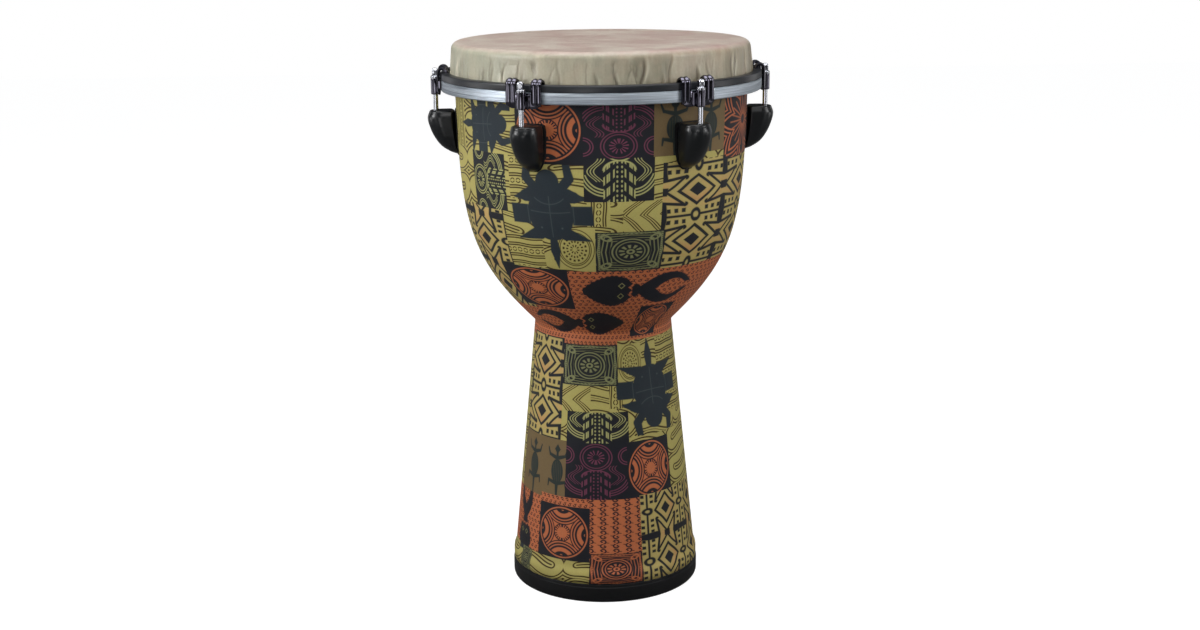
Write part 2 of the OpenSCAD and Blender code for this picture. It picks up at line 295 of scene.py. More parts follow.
def limbs(x, y, *rows):
    """Distance to a union of tapering limbs, each two points and then the half widths there."""
    found = []
    for x0, y0, x1, y1, thick, thin in rows:
        run, rise = x1 - x0, y1 - y0
        whole = run * run + rise * rise
        left, up = x - x0, y - y0
        share = (left * (run / whole) + up * (rise / whole)).held(1)
        found.append(size(left - share * run, up - share * rise) + share * (thick - thin) - thick)
    return least(*found)


def block(x, y, across, along):
    """Distance to a rectangle about the origin."""
    return most(abs(x) - across, abs(y) - along)


def ring(distance, half):
    """A line of that half width along the edge of a shape."""
    return abs(distance) - half


def lines_at(field, half, *places):
    """Lines of that half width where a field has one of some values."""
    return least(*(abs(field - place) for place in places)) - half


def inked(distance, soft=0.02):
    """1 inside a shape and 0 outside, with a soft edge."""
    return distance.held(-1 / soft, 0.5)


def paint(under, mask, colour):
    """Colour laid over another where the mask is 1."""
    return add_node("Mix", {"Factor": mask, "A": under, "B": colour}, data_type="RGBA").outputs["Result"]


def between(field, low, high):
    """Field from 0 to 1 mapped to low to high, and held there."""
    return Field(add_node("MapRange", {"Value": field, "To Min": low, "To Max": high}).outputs[0])


def layered(colour, *layers):
    """Display colours over a colour: each has a field, and its share where the field is 0 and 1."""
    for field, low, high, over in layers:
        colour = paint(colour, between(field, low, high), rgb(*over))
    return colour


def texture_place(stretch=(1, 1, 1)):
    """Object coordinates in metres, stretched."""
    place = add_node("TexCoord", {}).outputs["Object"]
    return add_node("VectorMath", {0: place, 1: stretch}, operation="MULTIPLY").outputs[0]


def cloud(scale, detail=3, roughness=0.5, stretch=(1, 1, 1)):
    """Noise from 0 to 1. Scale is in repeats for each metre."""
    return Field(add_node("TexNoise", {
        "Scale": scale, "Detail": detail, "Roughness": roughness, "Vector": texture_place(stretch),
    }).outputs["Fac"])


def bumped(height, depth, under=None):
    """Surface normal from a height field; depth is the bump's height in metres."""
    inputs = {"Distance": depth, "Strength": 1, "Height": height}
    if under is not None:
        inputs["Normal"] = under
    return add_node("Bump", inputs).outputs["Normal"]


def start_material(name):
    """New material, whose tree the following calls write to."""
    Field.material = bpy.data.materials.new(name)
    Field.material.use_nodes = True
    Field.tree = Field.material.node_tree


def finish_material(colour, roughness, normal=None, **others):
    """Plugs the fields into the shader, writes the constants on its own sockets, and returns it."""
    inputs = {"Base_Color": colour, "Roughness": roughness, **others}
    if normal is not None:
        inputs["Normal"] = normal
    for name, value in inputs.items():
        plug(value, Field.tree.nodes["Principled BSDF"].inputs[name.replace("_", " ")])
    return Field.material


# ---- Printed cloth ----

YELLOW = rgb(189, 177, 103)
STROKE = rgb(68, 52, 27)
SLATE = rgb(35, 46, 55)
SEAM = rgb(92, 104, 104)
NAVY = rgb(24, 27, 37)
ORANGE = rgb(204, 116, 74)
GOLD = rgb(196, 176, 106)
AMBER = rgb(206, 152, 98)
MAGENTA = rgb(126, 62, 88)
LEAF = rgb(184, 182, 116)
EARTH = rgb(122, 101, 68)
MOSS = rgb(42, 52, 50)
MIST = rgb(140, 142, 96)


def uv_field(layer):
    """The two coordinates of a UV layer."""
    return parts_of(add_node("UVMap", {}, uv_map=layer).outputs[0])[:2]


def strokes(contour, pitch):
    """Groups of three thin lines that follow the contours of a field."""
    gap, half = 0.35, 0.082
    return lines_at(abs(wrap(contour, pitch)), half, 0, gap)


def turtle(under):
    """Turtle seen from above, head up, from -1 to 1 along its body."""
    x, y = uv_field("beast")
    x = abs(x + y * 0.06)
    shell = ellipse(x, y - 0.04, 0.44, 0.50)
    neck = (0, 0.40, 0, 0.64, 0.31, 0.22)
    arm = (0.22, 0.48, 0.41, 0.70, 0.09, 0.09)
    hand = most(limbs(x, y, (0.41, 0.70, 0.36, 1.02, 0.09, 0.06)), y - 0.97)
    fin, fin_tip = (0.36, 0.38, 0.46, 0.36, 0.14, 0.11), (0.46, 0.36, 0.70, 0.32, 0.11, 0.01)
    flap = block(x - 0.60, y - 0.02, 0.19, 0.18)
    foot = (0.26, -0.32, 0.72, -0.45, 0.13, 0.01)
    tail, tip = (0, -0.40, 0, -0.66, 0.07, 0.10), (0, -0.66, 0, -1.0, 0.10, 0.01)
    body = least(shell, hand, flap, limbs(x, y, neck, arm, fin, fin_tip, foot, tail, tip))
    collar = most(abs(size(x, y - 0.62) - 0.40), y - 0.44)
    spots = size(x - 0.20, y + 0.22) - 0.012
    seams = least(most(abs(x), y - 0.36), abs(y - 0.06 - x * x * 0.2), collar, spots) - 0.006
    joint = block(x - 0.44, y - 0.02, 0.006, 0.18)
    painted = paint(under, inked(body), SLATE)
    return paint(painted, inked(least(most(seams, shell + 0.06), joint)) * 0.45, SEAM)


def horned(under):
    """Leaf-shaped dark face with two long horns that close into a lens, from -1 to 1 along it."""
    x, y = uv_field("beast")
    y = abs(y)
    teeth = abs(wrap(x, 0.075)) * 0.5
    back = abs(x + 0.50)
    face = y + back * back * 0.8 + back * 0.12 + teeth - 0.31
    beard, nape = (-0.9, 0, -1.04, 0, 0.03, 0.01), (-0.12, 0, 0.1, 0, 0.06, 0.12)
    zigzag = ring(x + 0.15 + abs(wrap(y, 0.13)) * 1.1, 0.025)
    outer = y + (x - 0.44) * (x - 0.44) * 0.92 - 0.29
    inner = y + (x - 0.56) * (x - 0.56) * 1.5 - 0.15
    horns = most(outer, -inner, -block(x - 1, y, 0.26, 0.05))
    eye = ring(abs(x + 0.36) + abs(y - 0.10) - 0.05, 0.010)
    painted = paint(under, inked(least(most(face, -zigzag), horns, limbs(x, y, beard, nape))), NAVY)
    return paint(painted, inked(eye, 0.012) * 0.6, LEAF)


def on_yellow(lines):
    """Dark lines on yellow cloth, with the turtles over them."""
    return turtle(paint(YELLOW, inked(lines, 0.03), STROKE))


def waves_motif(x, y):
    """Nested hairpin bends in triple lines on yellow."""
    sway = wave(x * 0.95 + wave(y * 0.8) * 0.8) * 0.34
    straight = (abs(wrap(x + 1.1, 5.6)) - 1.5).node("MAXIMUM", 0)
    return on_yellow(strokes(size(straight, wrap(y + sway, 3.4)), 1.75))


def chevrons_motif(x, y):
    """Triple chevrons on yellow."""
    return on_yellow(strokes(x + abs(y) * 1.2 + wave(y * 2.6) * 0.12, 2.2))


def bars_motif(x, y):
    """Pairs of lines with a row of split beads between them, on yellow."""
    across = wrap(y, 2.1) + wave(x * 1.9) * 0.05
    bead = ring(ellipse(wrap(x, 0.74), across, 0.24, 0.22), 0.055)
    return on_yellow(least(most(bead, 0.05 - abs(across)), lines_at(abs(across), 0.075, 0.50, 0.76)))


def oval_motif(x, y):
    """Dotted flower in rings, on yellow."""
    reach, angle = polar(x, y)
    petals = most(ring(abs(reach - 0.46) - 0.09, 0.05), wave(angle * 16) * 0.1)
    seeds = most(ring(reach - 0.17, 0.06), wave(angle * 9) * 0.1)
    return on_yellow(least(lines_at(reach, 0.022, 0.95, 0.80, 0.72), petals, seeds))


def roundel_motif(x, y):
    """Orange disc of four crescents round a small sun, on a dark panel."""
    x, y = abs(x), abs(y)
    reach, angle = polar(x, y)
    lobe = least(size(x - 1.06, y), size(x, y - 1.06))
    petals = most(0.68 - lobe, -ring(lobe - 0.75, 0.02))
    crescents = least(ring(lobe - 0.43, 0.075), ring(lobe - 0.60, 0.022))
    beads = size(lobe - 0.20, wrap(least(x, y), 0.17)) - 0.055
    rays = most(ring(reach - 0.25, 0.05), wave(angle * 20) * 0.05)
    orange = most(least(petals, crescents, beads), reach - 0.84)
    colour = paint(NAVY, inked(least(orange, ring(reach - 0.92, 0.024))), ORANGE)
    return paint(colour, inked(least(ring(reach - 0.31, 0.018), rays)), NAVY)


def net_motif(x, y):
    """Eye diamonds between pairs of wings, with a knot and framed rows of small boxes between two."""
    x = abs(wrap(x, 2)) + wave(y * 5 + x * 4) * 0.02
    far = abs(wrap(y, 2))
    near = 1 - far
    reach = x + far
    eye = least(reach - 0.27, ring(reach - 0.58, 0.07))
    edge = near - x * 0.20 - 0.37
    wing = most(ring(reach - 0.92, 0.06), -edge)
    border = most(ring(edge, 0.06), 0.34 - x)
    tip = most(ring(size(x - 0.37, near - 0.47) - 0.05, 0.05), x - 0.37)
    boxes = block(wrap(x - 0.37, 0.225), near - 0.23, 0.058, 0.085)
    inside = most(least(most(boxes, 0.27 - x), most(ring(near, 0.05), 0.12 - x)), edge)
    knot = ring(ellipse(x, near, 0.11, 0.20), 0.045)
    side = most(ring(x - 0.95, 0.08), least(edge, far - 0.16))
    warm = least(most(reach - 0.57, 0.28 - reach), most(0.9 - reach, -edge)) + wave(y * 3 + x * 2) * 0.12
    colour = paint(GOLD, inked(warm + 0.1, 0.3) * 0.8, AMBER)
    return paint(colour, inked(least(eye, wing, border, tip, inside, knot, side), 0.03), NAVY)


def night_motif(line, bold):
    """Dark panel: a double oval above, a capped block of stripes below, arcs and streams beside."""
    def colours(x, y):
        x = abs(x)
        oval = size(x * 0.9, y - 0.50)
        turn = (y - 0.50).node("ARCTAN2", x)
        seeds = most(ring(oval - 0.17, 0.08), wave(turn * 14) * 0.06 + 0.02)
        arch = ellipse(x, y + 0.20, 0.44, 0.24)
        cap = most(ring(arch, 0.014), -y - 0.20)
        bars = most(lines_at(x, 0.018, 0.43, 0.34, 0.29, 0.16), 0.07 - abs(wrap(y + x * 0.7, 0.34)))
        beads = size(wrap(x - 0.065, 0.13) * 1.2, wrap(y, 0.12)) - 0.028
        stripes = most(least(bars, most(beads, x - 0.12)), least(arch, y + 0.20))
        bend = size(x - 0.40, y + 0.08)
        arcs = most(lines_at(bend, 0.014, 0.61, 0.69, 0.77), y + 0.32, 0.44 - x)
        drift = x - 0.66 + wave(y * 9.5 + 0.6) * 0.15
        streams = most(ring(wrap(drift, 0.09), 0.012), block(drift, y + 0.14, 0.13, 0.34))
        halo = lines_at(size(x - 1.02, y - 0.52), 0.014, 0.30, 0.22)
        rings = least(ring(oval - 0.46, 0.013), ring(oval - 0.38, 0.012))
        return paint(NAVY, inked(least(rings, seeds, cap, stripes, arcs, streams, halo) - bold, 0.022), line)
    return colours


def lizard_motif(x, y):
    """Row of lizards seen from above, on earth brown."""
    x = abs(wrap(x, 2))
    body = ellipse(x, y + 0.05, 0.42, 0.40)
    head = (x * 0.8 + abs(y - 0.68) - 0.17) * 0.7
    neck, tail = (0, 0.30, 0, 0.55, 0.08, 0.08), (0, -0.40, 0, -0.98, 0.12, 0.06)
    arm, hand = (0.10, 0.40, 0.56, 0.48, 0.07, 0.05), (0.56, 0.48, 0.68, 0.68, 0.06, 0.04)
    leg, foot = (0.10, -0.44, 0.58, -0.38, 0.07, 0.05), (0.58, -0.38, 0.62, -0.56, 0.06, 0.04)
    beast = least(body, head, limbs(x, y, neck, arm, hand, leg, foot, tail))
    scales = most(ring(wrap(x, 0.13), 0.010), body + 0.06)
    return paint(paint(EARTH, inked(beast, 0.03), MOSS), inked(scales) * 0.35, EARTH)


def burst_motif(x, y):
    """Thin rays round a dark heart inside orange zigzag rings, on a dark panel."""
    reach, angle = polar(x, y)
    rays = most(abs(wave(angle * 11)) * reach * 0.09 - 0.016, 0.14 - reach, reach - 0.74)
    edge = reach + abs(wrap(angle, math.pi / 4)) * 1.3
    rings = least(ring(edge - 1.10, 0.045), ring(edge - 1.30, 0.035), ring(edge - 1.48, 0.03))
    return paint(NAVY, inked(least(rays, rings), 0.03), ORANGE)


def curls_motif(x, y):
    """Staggered rows of small C-shaped curls on orange."""
    across, along = 0.62, 0.58
    row = wrap(y * (1 / along), 2)
    x = wrap(x * (1 / across) + row.node("SIGN") * 0.25, 1)
    y = abs(row) - 0.5
    hook = most(ring(size(x, y) - 0.23, 0.075), least(-x, -y))
    tail = limbs(x, y, (0.0, -0.24, 0.42, -0.30, 0.07, 0.05))
    dot = size(x + 0.11, y - 0.03) - 0.085
    return horned(paint(ORANGE, inked(least(hook, tail, dot), 0.07), NAVY))


def scrolls_motif(x, y):
    """Columns of S-shaped scrolls on orange."""
    across, along = 1.40, 1.04
    y = wrap(y * (1 / along), 1)
    x, y = wrap(x * (1 / across), 1) * y.node("SIGN"), abs(y)
    hook = most(ring(size(x, y - 0.22) - 0.20, 0.062), least(-x, 0.24 - y))
    dot = size(x + 0.10, y - 0.21) - 0.08
    comb = limbs(x, y, (0.18, 0.16, 0.42, 0.10, 0.05, 0.03))
    return paint(ORANGE, inked(least(hook, dot, comb), 0.05), NAVY)


def ornament_motif(line):
    """Dark panel with corner leaves and a ringed flower."""
    def colours(x, y):
        reach, angle = polar(x, y)
        x, y = abs(x), abs(y)
        dashes = abs(wrap(x + y * 1.3, 0.13)) - 0.045
        border = most(ring(most(x, y) - 0.90, 0.03), dashes)
        oval = size(x * 1.25, y * 1.05)
        rings = least(ring(oval - 0.66, 0.03), ring(oval - 0.52, 0.02))
        flower = most(ring(reach - 0.26, 0.08), wave(angle * 10) * 0.05)
        heart = ring(reach - 0.09, 0.035)
        along, over = (x + y) * 0.7, (x - y) * 0.7
        leaves = ring(ellipse(along - 0.98, over, 0.16, 0.10), 0.03)
        veins = most(ring(wrap(along + abs(over) * 0.8, 0.15), 0.02), 0.76 - oval, along - 1.16)
        return paint(NAVY, inked(least(border, rings, flower, heart, leaves, veins), 0.03), line)
    return colours


MOTIFS = {
    "waves": waves_motif,
    "chevrons": chevrons_motif,
    "bars": bars_motif,
    "oval": oval_motif,
    "roundel": roundel_motif,
    "net": net_motif,
    "night": night_motif(MAGENTA, 0),
    "dusk": night_motif(LEAF, 0.003),
    "lizard": lizard_motif,
    "burst": burst_motif,
    "curls": curls_motif,
    "scrolls": scrolls_motif,
    "ornament": ornament_motif(MIST),
    "ember": ornament_motif(ORANGE),
}
IN_CENTIMETRES = ("waves", "chevrons", "bars", "curls", "scrolls")
THREADS_PER_M = 1400


def cloth_material(name, motif):
    """Print with a weave, faded ink and a thin satin coat."""
    start_material("cloth_" + name)
    printed = motif(*uv_field("tile"))
    u, v = uv_field("cloth")
    weave = wave(u * (THREADS_PER_M * math.pi)) * wave(v * (THREADS_PER_M * math.pi))
    fade, grain, creases = cloud(22, 4, 0.6), cloud(900, 2), cloud(30, 2)
    worn = layered(printed, (fade, 0.0, 0.10, (96, 88, 70)), (grain, -0.10, 0.22, (24, 23, 26)))
    relief = bumped(weave * 0.5 + grain * 0.5, 0.00008, bumped(creases, 0.0012))
    return finish_material(worn, between(fade, 0.48, 0.62), relief, Specular_IOR_Level=0.22)


WHOLE = (-1, 1, -1, 1)
LOWER_HALF = (-1, 1, -1, 0.02)
UPSIDE_DOWN = (1, -1, 1, -1)

# Motif, left and right edge in degrees, lower and upper edge in mm, and, if it isn't the whole
# motif upright, the window on it and the quarter turns
PATCHES = [(*row, WHOLE, 0)[:7] for row in [
    ("waves", -90, 90, 22, 596),
    ("bars", -90, -66, 500, 562, WHOLE, 1),
    ("roundel", -34, -7, 497, 566),
    ("night", -7, 19.5, 500, 562, UPSIDE_DOWN, 0),
    ("lizard", 19.5, 54, 500, 566, (-1, 3, -1, 1), 0),
    ("burst", 54, 90, 492, 566),
    ("dusk", -60, -40, 443, 503, WHOLE, 1),
    ("bars", -38, -24, 458, 500),
    ("dusk", -7, 20, 458, 500, LOWER_HALF, 0),
    ("bars", -6, 3, 432, 458, WHOLE, 1),
    ("chevrons", 8, 24, 425, 458, WHOLE, 2),
    ("net", 23.5, 56, 380, 497, (-1, 1, -1.2, 3.2), 0),
    ("net", 56, 90, 380, 492, (-1, 1.1, -1.2, 3.0), 0),
    ("bars", -43, -25, 384, 420),
    ("oval", -20, -3, 384, 430),
    ("ornament", -3, 26, 382, 426),
    ("curls", -84, 90, 288, 382),
    ("net", -84, -43, 330, 443, (-2.9, 1.28, 1, -1.73), 1),
    ("roundel", -52, -16, 334, 383),
    ("roundel", 22, 46, 296, 336),
    ("waves", 11, 90, 185, 292),
    ("net", -74, -33, 180, 293, (-1, 1, -1, 3), 0),
    ("ornament", -33, 11, 243, 288),
    ("oval", 11, 31, 245, 288),
    ("bars", 46, 90, 205, 290),
    ("chevrons", -33, -10, 214, 243, WHOLE, 2),
    ("bars", 4, 14, 218, 243, WHOLE, 1),
    ("dusk", -28, 18, 180, 214, LOWER_HALF, 0),
    ("night", -28, 16, 117, 180),
    ("roundel", 16, 52, 115, 180),
    ("lizard", -76, -28, 112, 180, (-3.5, 0.6, -1, 1), 0),
    ("curls", -90, -28, 46, 112),
    ("roundel", -48, -10, 46, 107),
    ("curls", -48, -10, 107, 117),
    ("scrolls", -10, 24, 56, 117),
    ("net", 24, 90, 22, 119, (-0.72, 2.7, -2.93, 1.33), 1),
    ("ornament", -66, -54, 22, 47),
    ("ember", -10, 24, 22, 56),
]]

# Figures laid over the patches: centre in degrees and mm, half length in mm, quarter turns, and
# how far the figure reaches across and along its own box
TURTLE_BOX = (0.92, 1.04)
HORNED_BOX = (1.04, 0.36)
BEASTS = [
    (-52, 532, 45, 3, TURTLE_BOX),
    (-20.5, 442, 57, 0, TURTLE_BOX),
    (19.5, 358, 64, 0, HORNED_BOX),
    (-20, 315, 52, 2, HORNED_BOX),
    (39, 238, 54, 2, TURTLE_BOX),
    (-66, 82, 52, 1, HORNED_BOX),
]
FAR = (9.0, 9.0)
SECTOR_DEG = 180
GRID_DEG = 3
GRID_MM = 6


# ---- Sizes from the frame ----


def outer_rings(node):
    """Heights and radii of a turned CAD node's outer wall, from the bottom up."""
    mesh = frame["nodes"][node].data
    found = {}
    for face in mesh.polygons:
        radius = math.hypot(face.center.x, face.center.y)
        outward = face.normal.x * face.center.x + face.normal.y * face.center.y
        if outward > 0.05 * radius:
            for index in face.vertices:
                point = mesh.vertices[index].co
                found[round(point.z / (0.05 * MM))] = (point.z, math.hypot(point.x, point.y))
    return [found[level] for level in sorted(found)]


def radii(node, top=math.inf):
    """Least and greatest radius of a CAD node's vertices up to a height."""
    places = [v.co for v in frame["nodes"][node].data.vertices]
    reach = [math.hypot(p.x, p.y) for p in places if p.z <= top]
    return min(reach), max(reach)


def smooth_at(profile, z):
    """Radius at a height on a smooth curve through a profile's points."""
    z = min(max(z, profile[0][0]), profile[-1][0])
    i = next(k for k in range(1, len(profile)) if profile[k][0] >= z - 1e-9)
    (z0, r0), (z1, r1) = profile[i - 1], profile[i]

    def slope(k):
        low, high = profile[max(k - 1, 0)], profile[min(k + 1, len(profile) - 1)]
        return (high[1] - low[1]) / (high[0] - low[0])

    step = z1 - z0
    t = (z - z0) / step
    a, b = slope(i - 1) * step, slope(i) * step
    return ((2 * t ** 3 - 3 * t ** 2 + 1) * r0 + (t ** 3 - 2 * t ** 2 + t) * a
            + (3 * t ** 2 - 2 * t ** 3) * r1 + (t ** 3 - t ** 2) * b)


SLEEVE = outer_rings("printed_sleeve")
ROD_AXIS = frame["joints"][1]["pos_m"][0]


# ---- Mesh building ----


def new_piece(name, shape, body, materials, node, station=1, smooth_deg=35, closed=True):
    """Mesh object, turned from station 1 to its own, that rides on a body for a CAD node."""
    mesh = bpy.data.meshes.new(name)
    mesh.from_pydata(shape.points, [], shape.faces)
    if closed:
        work = bmesh.new()
        work.from_mesh(mesh)
        bmesh.ops.remove_doubles(work, verts=work.verts, dist=0.002 * MM)
        bmesh.ops.recalc_face_normals(work, faces=work.faces)
        work.to_mesh(mesh)
        work.free()
    for material in materials:
        mesh.materials.append(material)
    mesh.polygons.foreach_set("use_smooth", [True] * len(mesh.polygons))
    mesh.set_sharp_from_angle(angle=math.radians(smooth_deg))
    mesh.transform(Matrix.Rotation(math.radians(360 / STATIONS * (station - 1)), 4, "Z"))
    mesh.update()
    piece = new_object(name, mesh)
    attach(piece, body)
    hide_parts(node)
    return piece


def thicken(piece, thickness):
    """Gives a sheet its thickness, inwards."""
    wall = piece.modifiers.new("thickness", "SOLIDIFY")
    wall.thickness = thickness
    wall.offset = -1


class Shape:
    """Points and faces of one or more surfaces."""

    def __init__(self):
        self.points = []
        self.faces = []

    def grid(self, rows, closed=False, flip=False):
        """Adds a surface through rings of points, with the last joined to the first if closed."""
        start, wide, high = len(self.points), len(rows[0]), len(rows)
        for row in rows:
            self.points += [tuple(p) for p in row]
        for i in range(high if closed else high - 1):
            for j in range(wide):
                a, b = start + i * wide, start + (i + 1) % high * wide
                k = (j + 1) % wide
                face = (a + j, a + k, b + k, b + j)
                self.faces.append(face[::-1] if flip else face)

    def capped(self, rows):
        """Adds a surface through rings of points, and a fan over the first and the last."""
        self.grid(rows)
        for row, flip in ((rows[0], True), (rows[-1], False)):
            start, wide = len(self.points), len(row)
            centre = sum((Vector(p) for p in row), Vector()) / wide
            self.points += [tuple(p) for p in row] + [tuple(centre)]
            for j in range(wide):
                face = (start + j, start + (j + 1) % wide, start + wide)
                self.faces.append(face[::-1] if flip else face)


def turned(outline, steps, centre_x=0.0):
    """Rings about an upright axis. A ring's radius may be a function of the degrees round it."""
    rows = []
    for radius, z in outline:
        row = []
        for k in range(steps):
            degrees = 360 * k / steps
            x, y = on_circle(degrees, radius(degrees) if callable(radius) else radius)
            row.append((centre_x + x, y, z))
        rows.append(row)
    return rows


def filleted(corners, steps=4):
    """Closed outline with each (radius, height, fillet) corner rounded."""
    outline = []
    for i, (x, z, fillet) in enumerate(corners):
        here = Vector((x, z))
        if fillet == 0:
            outline.append((x, z))
            continue
        before = (Vector(corners[i - 1][:2]) - here).normalized()
        after = (Vector(corners[(i + 1) % len(corners)][:2]) - here).normalized()
        half = before.angle(after) / 2
        reach = fillet / math.tan(half)
        middle = here + (before + after).normalized() * fillet / math.sin(half)
        first, last = here + before * reach - middle, here + after * reach - middle
        for k in range(steps + 1):
            arm = first * (1 - k / steps) + last * (k / steps)
            outline.append(tuple(middle + arm.normalized() * fillet))
    return outline


def ring_piece(name, corners, steps, node, body, material):
    """Closed turned piece with rounded corners that stands for a CAD node."""
    shape = Shape()
    shape.grid(turned(filleted(corners, steps), 240), closed=True)
    new_piece(name, shape, body, [material], node)


# ---- Printed sleeve ----


def breakpoints(edges, low, high, step, apart):
    """Every edge between low and high, with even steps put in where they are far apart."""
    marks = sorted({low, high, *(e for e in edges if low < e < high)})
    marks = [m for i, m in enumerate(marks) if i == 0 or m - marks[i - 1] > apart]
    filled = []
    for a, b in zip(marks, marks[1:]):
        count = max(1, math.ceil((b - a) / step - 0.2))
        filled += [a + (b - a) * k / count for k in range(count)]
    return filled + [marks[-1]]


def quarter_turned(x, y, turns):
    """Point turned by quarter turns."""
    for _ in range(turns):
        x, y = y, -x
    return x, y


def on_figure(figure, angle, z):
    """Coordinates of a place on the sleeve in a figure's own box."""
    centre, height, half, turns = figure[:4]
    across = math.radians(angle - centre) * smooth_at(SLEEVE, height * MM) / (half * MM)
    return quarter_turned(across, (z - height * MM) / (half * MM), turns)


def figure_over(angle, z):
    """The figure whose box holds a place, if any."""
    for figure in BEASTS:
        across, up = on_figure(figure, angle, z)
        if abs(across) < figure[4][0] and abs(up) < figure[4][1]:
            return figure
    return None


def tile_at(patch, angle, z, run, run_at):
    """Coordinates on a patch's motif: in centimetres of cloth, or across its window."""
    motif, left, right, low, high, window, turns = patch
    if motif in IN_CENTIMETRES:
        centimetre, middle = 0.01, (low + high) / 2 * MM
        x = math.radians(angle - (left + right) / 2) * smooth_at(SLEEVE, middle) / centimetre
        return quarter_turned(x, (run - run_at(middle)) / centimetre, turns)
    across, up = (angle - left) / (right - left), (z / MM - low) / (high - low)
    x, y = quarter_turned(across * 2 - 1, up * 2 - 1, turns)
    x0, x1, y0, y1 = window
    return x0 + (x1 - x0) * (x + 1) / 2, y0 + (y1 - y0) * (y + 1) / 2


def build_sleeve(materials):
    """Printed cloth bonded on the shell, each cell of its grid in one patch of the print."""
    levels = [level * MM for p in PATCHES for level in p[3:5]] + [z for z, _ in SLEEVE]
    heights = breakpoints(levels, SLEEVE[0][0], SLEEVE[-1][0], GRID_MM * MM, 0.6 * MM)
    half = SECTOR_DEG / 2
    sector = breakpoints([a for p in PATCHES for a in p[1:3]], -half, half, GRID_DEG, 0.25)[:-1]
    angles = [a + back for back in (0, SECTOR_DEG) for a in sector]
    reaches = [smooth_at(SLEEVE, z) for z in heights]
    runs = [0]
    for i in range(1, len(heights)):
        runs.append(runs[-1] + math.hypot(heights[i] - heights[i - 1], reaches[i] - reaches[i - 1]))

    def run_at(z):
        return runs[min(range(len(heights)), key=lambda k: abs(heights[k] - z))]

    shape = Shape()
    shape.grid([[front_point(a, r, z) for a in angles] for z, r in zip(heights, reaches)])
    piece = new_piece("sleeve_print", shape, SHELL_BODY, materials.values(),
                      "printed_sleeve", closed=False)
    mesh = piece.data
    layers = {n: mesh.uv_layers.new(name=n).data for n in ("tile", "beast", "cloth", "OFBake")}
    edges = angles + [angles[0] + 360]
    for face in mesh.polygons:
        i, j = divmod(face.index, len(angles))
        left, right = edges[j:j + 2]
        back = SECTOR_DEG if left >= half else 0
        angle, z = (left + right) / 2 - back, (heights[i] + heights[i + 1]) / 2 / MM
        patch = [p for p in PATCHES if p[1] < angle < p[2] and p[3] < z < p[4]][-1]
        face.material_index = list(MOTIFS).index(patch[0])
        figure = figure_over(angle, z * MM)
        corners = ((left, i), (right, i), (right, i + 1), (left, i + 1))
        for loop, (a, row) in zip(face.loop_indices, corners):
            z, run = heights[row], runs[row]
            layers["tile"][loop].uv = tile_at(patch, a - back, z, run, run_at)
            layers["beast"][loop].uv = on_figure(figure, a - back, z) if figure else FAR
            layers["cloth"][loop].uv = (math.radians(a) * reaches[row], run)
            layers["OFBake"][loop].uv = ((a + half) / 360, run / runs[-1])
    thicken(piece, 0.7 * MM)
    2 * math.pi * max(reaches)


# ---- Head ----

CREASES = 44
FOLDS = 44


def crease_list(seed):
    """Tucks and broad folds round the collar: angle, half width, depth, lean and reach."""
    draw = random.Random(seed)
    found = []
    for i in range(CREASES):
        angle = 360 * (i + draw.uniform(-0.45, 0.45)) / CREASES
        found.append((angle, draw.uniform(0.35, 0.6), draw.uniform(0.6, 1.5) * MM,
                      draw.uniform(-2.5, 2.5), draw.uniform(0.5, 1.0)))
    for i in range(FOLDS):
        found.append((draw.uniform(0, 360), draw.uniform(1.2, 2.6), draw.uniform(-0.7, 0.9) * MM,
                      draw.uniform(-4, 4), draw.uniform(0.4, 1.0)))
    return found


def crease_depth(creases, angle, share):
    """How far the film is drawn in at an angle, at a share of the collar's height."""
    total = 0
    for at, width, depth, lean, reach in creases:
        bend = lean * share + 0.5 * math.sin(7 * share + at)
        away = (angle - at - bend + 180) % 360 - 180
        if abs(away) > 5 * width or share > reach:
            continue
        fade = min(1, (reach - share) / 0.35)
        fade = fade * fade * (3 - 2 * fade)
        tuck = math.exp(-(away / width) ** 2)
        ridge = 0.5 * math.exp(-((away - 2.0 * width) / (1.1 * width)) ** 2)
        total += depth * fade * (tuck - ridge)
    return total


def build_head(material):
    """Coated film: a flat top, a round shoulder and a tucked collar that runs into its channel."""
    rings = outer_rings("drumhead_film")
    collar_low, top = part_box("counterhoop")[0].z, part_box("drumhead_film")[1].z
    shoulder_r = 8 * MM
    shoulder_z = top - shoulder_r
    edge_r = max(r for z, r in rings if z >= shoulder_z - 0.5 * MM)
    collar_r = max(r for _, r in rings)
    flat_r = edge_r - shoulder_r
    path = [(flat_r * k / 7, top) for k in range(1, 8)]
    for k in range(1, 10):
        out, up = on_circle(90 - 10 * k, shoulder_r)
        path.append((flat_r + out, shoulder_z + up))
    for k in range(1, 23):
        path.append((edge_r + (collar_r - edge_r) * k / 22, shoulder_z - (shoulder_z - collar_low) * k / 22))
    path.append((collar_r, rings[0][0]))
    creases = crease_list(7)
    steps = 720
    rows, folds = [], []
    for radius, z in path:
        share = min(max((z - collar_low) / (top - collar_low), 0), 1)
        plain = radius <= flat_r or z < collar_low - MM
        rows.append([])
        for k in range(steps):
            depth = 0 if plain else crease_depth(creases, 360 * k / steps, share)
            depth = max(depth, (radius - collar_r) * 0.9)
            rows[-1].append((*on_circle(360 * k / steps, radius - depth), z))
            folds.append(min(max(depth / (1.2 * MM), -1), 1))
    shape = Shape()
    shape.grid(rows, flip=True)
    shape.faces += [(k, (k + 1) % steps, len(shape.points)) for k in range(steps)]
    shape.points.append((0, 0, top))
    piece = new_piece("head_skin", shape, HEAD_BODY, [material], "drumhead_film",
                      smooth_deg=60, closed=False)
    # Fold depth at each point: the head material paints shade in the tucks and highlights on the ridges from
    # it.
    fold = piece.data.attributes.new("fold", "FLOAT", "POINT")
    fold.data.foreach_set("value", folds + [0.0])
    thicken(piece, 0.45 * MM)


